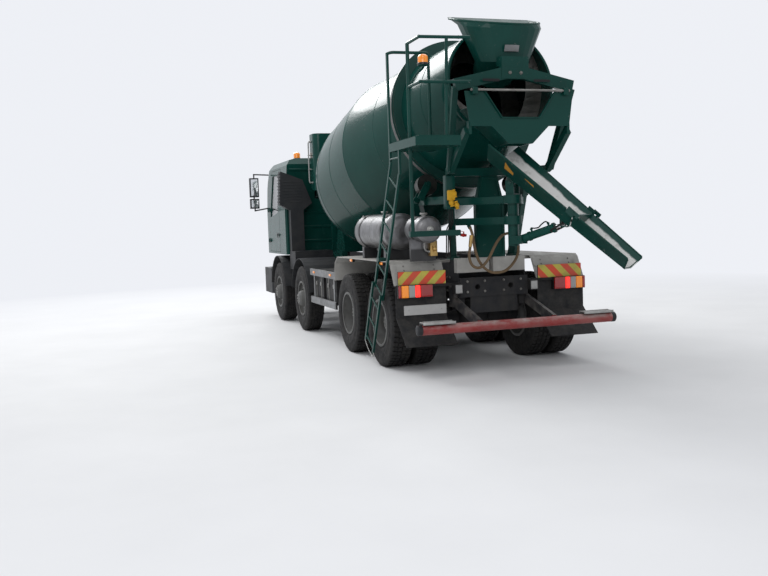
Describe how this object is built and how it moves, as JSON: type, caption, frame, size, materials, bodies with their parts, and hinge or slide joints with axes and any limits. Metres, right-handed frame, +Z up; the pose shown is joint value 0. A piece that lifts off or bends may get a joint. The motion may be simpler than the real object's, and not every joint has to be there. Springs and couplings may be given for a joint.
{
  "type": "concrete mixer truck",
  "caption": "Four-axle concrete mixer truck: tilted revolving drum with spiral blades, feed hopper, swivelling folding chute, ladder and platform, tilting day cab.",
  "frame": {"origin": "on the ground under the middle of the truck's length and width", "axes": "+X forward along the truck, +Y to its left, +Z up"},
  "size_m": [9.9615, 2.96, 4.0133],
  "materials": {
    "frame_paint": "satin dark grey, dusty",
    "dark_plastic": "matt moulded",
    "white_paint": "worn gloss off-white",
    "flap_rubber": "matt, road grime",
    "aluminium": "satin, weathered",
    "black_paint": "satin",
    "bar_paint": "worn red",
    "lamp": "moulded lens",
    "green_paint": "gloss dark green",
    "hose": "matt",
    "brass": "worn",
    "chrome": "polished",
    "worn_steel": "worn by concrete",
    "glass": "tinted",
    "rim_paint": "light grey, brake dust",
    "tyre": "matt, wet road film"
  },
  "bodies": {
    "chassis": {"chassis_frame": "frame_paint", "front_bumper": "dark_plastic", "driveline": "frame_paint", "front_axles": "frame_paint", "rear_axles": "frame_paint", "cab_fenders": "dark_plastic", "rear_mudguards": "white_paint", "mudflaps": "flap_rubber", "side_guards": "aluminium", "tanks_boxes": "black_paint", "underrun_bar": "bar_paint", "rear_lights": "lamp", "front_pedestal": "green_paint", "water_tank": "green_paint", "rear_pedestal": "green_paint", "hopper": "green_paint", "discharge_trough": "green_paint", "platform": "green_paint", "ladder_upper": "green_paint", "side_tanks": "aluminium", "water_hose": "hose", "hose_nozzle": "brass", "centre_column": "green_paint"},
    "wheel_1_left": {"wheel_1_left": "rim_paint", "tyre_1_left": "tyre"},
    "knuckle_1_left": {"knuckle_1_left": "frame_paint"},
    "wheel_1_right": {"wheel_1_right": "rim_paint", "tyre_1_right": "tyre"},
    "knuckle_1_right": {"knuckle_1_right": "frame_paint"},
    "wheel_2_left": {"wheel_2_left": "rim_paint", "tyre_2_left": "tyre"},
    "knuckle_2_left": {"knuckle_2_left": "frame_paint"},
    "wheel_2_right": {"wheel_2_right": "rim_paint", "tyre_2_right": "tyre"},
    "knuckle_2_right": {"knuckle_2_right": "frame_paint"},
    "wheel_3_left": {"wheel_3_left": "rim_paint", "tyres_3_left": "tyre"},
    "wheel_3_right": {"wheel_3_right": "rim_paint", "tyres_3_right": "tyre"},
    "wheel_4_left": {"wheel_4_left": "rim_paint", "tyres_4_left": "tyre"},
    "wheel_4_right": {"wheel_4_right": "rim_paint", "tyres_4_right": "tyre"},
    "drum": {"drum_shell": "green_paint", "drum_blades": "worn_steel", "track_ring": "worn_steel"},
    "roller_left": {"roller_left": "worn_steel"},
    "roller_right": {"roller_right": "worn_steel"},
    "chute_arm": {"chute_swivel": "green_paint"},
    "cylinder": {"chute_barrel": "green_paint"},
    "cylinder_rod": {"chute_rod": "chrome"},
    "chute": {"chute_main": "green_paint"},
    "extension": {"chute_extension": "green_paint"},
    "cab": {"cab_shell": "green_paint", "cab_interior": "dark_plastic", "cab_glass": "glass", "mirrors": "dark_plastic"},
    "door_left": {"door_left": "green_paint"},
    "door_right": {"door_right": "green_paint"},
    "ladder_step": {"ladder_lower": "green_paint"}
  },
  "joints": [
    {"name": "steer_1_left", "type": "hinge", "parent": "chassis", "child": "knuckle_1_left", "pos_m": [3.59052, 0.882, 0.53], "axis": [0, 0, 1], "range_deg": [-38, 38]},
    {"name": "spin_1_left", "type": "hinge", "parent": "knuckle_1_left", "child": "wheel_1_left", "pos_m": [3.59052, 1, 0.53], "axis": [0, 1, 0], "continuous": true},
    {"name": "steer_1_right", "type": "hinge", "parent": "chassis", "child": "knuckle_1_right", "pos_m": [3.59052, -0.882, 0.53], "axis": [0, 0, 1], "range_deg": [-38, 38]},
    {"name": "spin_1_right", "type": "hinge", "parent": "knuckle_1_right", "child": "wheel_1_right", "pos_m": [3.59052, -1, 0.53], "axis": [0, 1, 0], "continuous": true},
    {"name": "steer_2_left", "type": "hinge", "parent": "chassis", "child": "knuckle_2_left", "pos_m": [1.76052, 0.882, 0.53], "axis": [0, 0, 1], "range_deg": [-25.1, 25.1]},
    {"name": "spin_2_left", "type": "hinge", "parent": "knuckle_2_left", "child": "wheel_2_left", "pos_m": [1.76052, 1, 0.53], "axis": [0, 1, 0], "continuous": true},
    {"name": "steer_2_right", "type": "hinge", "parent": "chassis", "child": "knuckle_2_right", "pos_m": [1.76052, -0.882, 0.53], "axis": [0, 0, 1], "range_deg": [-25.1, 25.1]},
    {"name": "spin_2_right", "type": "hinge", "parent": "knuckle_2_right", "child": "wheel_2_right", "pos_m": [1.76052, -1, 0.53], "axis": [0, 1, 0], "continuous": true},
    {"name": "spin_3_left", "type": "hinge", "parent": "chassis", "child": "wheel_3_left", "pos_m": [-1.07948, 1, 0.53], "axis": [0, 1, 0], "continuous": true},
    {"name": "spin_3_right", "type": "hinge", "parent": "chassis", "child": "wheel_3_right", "pos_m": [-1.07948, -1, 0.53], "axis": [0, 1, 0], "continuous": true},
    {"name": "spin_4_left", "type": "hinge", "parent": "chassis", "child": "wheel_4_left", "pos_m": [-2.47948, 1, 0.53], "axis": [0, 1, 0], "continuous": true},
    {"name": "spin_4_right", "type": "hinge", "parent": "chassis", "child": "wheel_4_right", "pos_m": [-2.47948, -1, 0.53], "axis": [0, 1, 0], "continuous": true},
    {"name": "drum_spin", "type": "hinge", "parent": "chassis", "child": "drum", "pos_m": [-2.38609, 0, 3.03304], "axis": [-0.9816, 0, 0.1908], "continuous": true},
    {"name": "roller_spin_left", "type": "hinge", "parent": "chassis", "child": "roller_left", "pos_m": [-2.55577, 0.57748, 2.16013], "axis": [-0.9816, 0, 0.1908], "continuous": true},
    {"name": "roller_spin_right", "type": "hinge", "parent": "chassis", "child": "roller_right", "pos_m": [-2.55577, -0.57748, 2.16013], "axis": [-0.9816, 0, 0.1908], "continuous": true},
    {"name": "chute_swivel", "type": "hinge", "parent": "chassis", "child": "chute_arm", "pos_m": [-3.72948, 0, 2.12], "axis": [0, 0, 1], "range_deg": [-85, 50]},
    {"name": "chute_tilt", "type": "hinge", "parent": "chute_arm", "child": "chute", "pos_m": [-3.72948, 0, 2.12], "axis": [-0.5736, 0.8192, 0], "range_deg": [-5, 18]},
    {"name": "cylinder_foot", "type": "hinge", "parent": "chute_arm", "child": "cylinder", "pos_m": [-3.8073, -0.05449, 1.5], "axis": [-0.5736, 0.8192, 0], "range_deg": [-3.88, 13.71]},
    {"name": "cylinder_stroke", "type": "slide", "parent": "cylinder", "child": "cylinder_rod", "axis": [-0.7856, -0.5501, 0.2832], "range_m": [-0.0533, 0.1906]},
    {"name": "extension_fold", "type": "hinge", "parent": "chute", "child": "extension", "pos_m": [-4.42286, -0.48551, 1.77237], "axis": [-0.5736, 0.8192, 0], "range_deg": [0, 172]},
    {"name": "cab_tilt", "type": "hinge", "parent": "chassis", "child": "cab", "pos_m": [4.62052, 0, 1.1], "axis": [0, 1, 0], "range_deg": [0, 55]},
    {"name": "door_left", "type": "hinge", "parent": "cab", "child": "door_left", "pos_m": [4.54052, 1.171, 1.26], "axis": [0, 0, 1], "range_deg": [-70, 0]},
    {"name": "door_right", "type": "hinge", "parent": "cab", "child": "door_right", "pos_m": [4.54052, -1.171, 1.26], "axis": [0, 0, 1], "range_deg": [0, 70]},
    {"name": "ladder_slide", "type": "slide", "parent": "chassis", "child": "ladder_step", "axis": [-0.4695, 0, 0.8829], "range_m": [0, 0.55]}
  ],
  "couplings": [
    {"joint": "steer_1_right", "follows": "steer_1_left", "ratio": 1},
    {"joint": "steer_2_left", "follows": "steer_1_left", "ratio": 0.66},
    {"joint": "steer_2_right", "follows": "steer_1_left", "ratio": 0.66},
    {"joint": "roller_spin_left", "follows": "drum_spin", "ratio": -7.48},
    {"joint": "roller_spin_right", "follows": "drum_spin", "ratio": -7.48},
    {"joint": "cylinder_foot", "follows": "chute_tilt", "ratio": 0.75584},
    {"joint": "cylinder_stroke", "follows": "chute_tilt", "m_per_rad": 0.6051}
  ]
}
